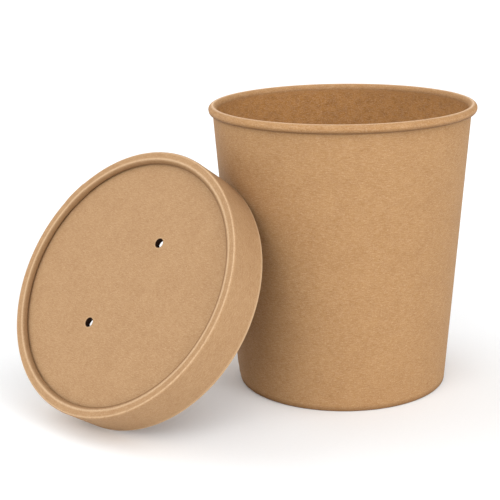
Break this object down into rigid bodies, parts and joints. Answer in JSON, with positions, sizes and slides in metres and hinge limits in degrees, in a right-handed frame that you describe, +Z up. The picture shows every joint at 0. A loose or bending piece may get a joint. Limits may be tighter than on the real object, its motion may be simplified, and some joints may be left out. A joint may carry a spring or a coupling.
{
  "type": "takeaway soup container",
  "caption": "Open round kraft board tub for soup with a rolled rim and recessed base, and its vented board lid leaning against it.",
  "frame": {"origin": "on the table, under the middle of the whole: the tub and its leaning lid", "axes": "+Z up along the tub's axis, +Y away from the front that the lid faces, +X to the right, from the lid towards the tub"},
  "size_m": [0.1702, 0.1244, 0.1055],
  "materials": {
    "kraft_tub": "matt",
    "kraft_inside": "matt, with a thin clear lining",
    "kraft_lid": "matt"
  },
  "bodies": {
    "root": {"cup_wall": "kraft_tub", "cup_base": "kraft_inside", "lid_band": "kraft_lid", "lid_disc": "kraft_lid"}
  },
  "joints": []
}
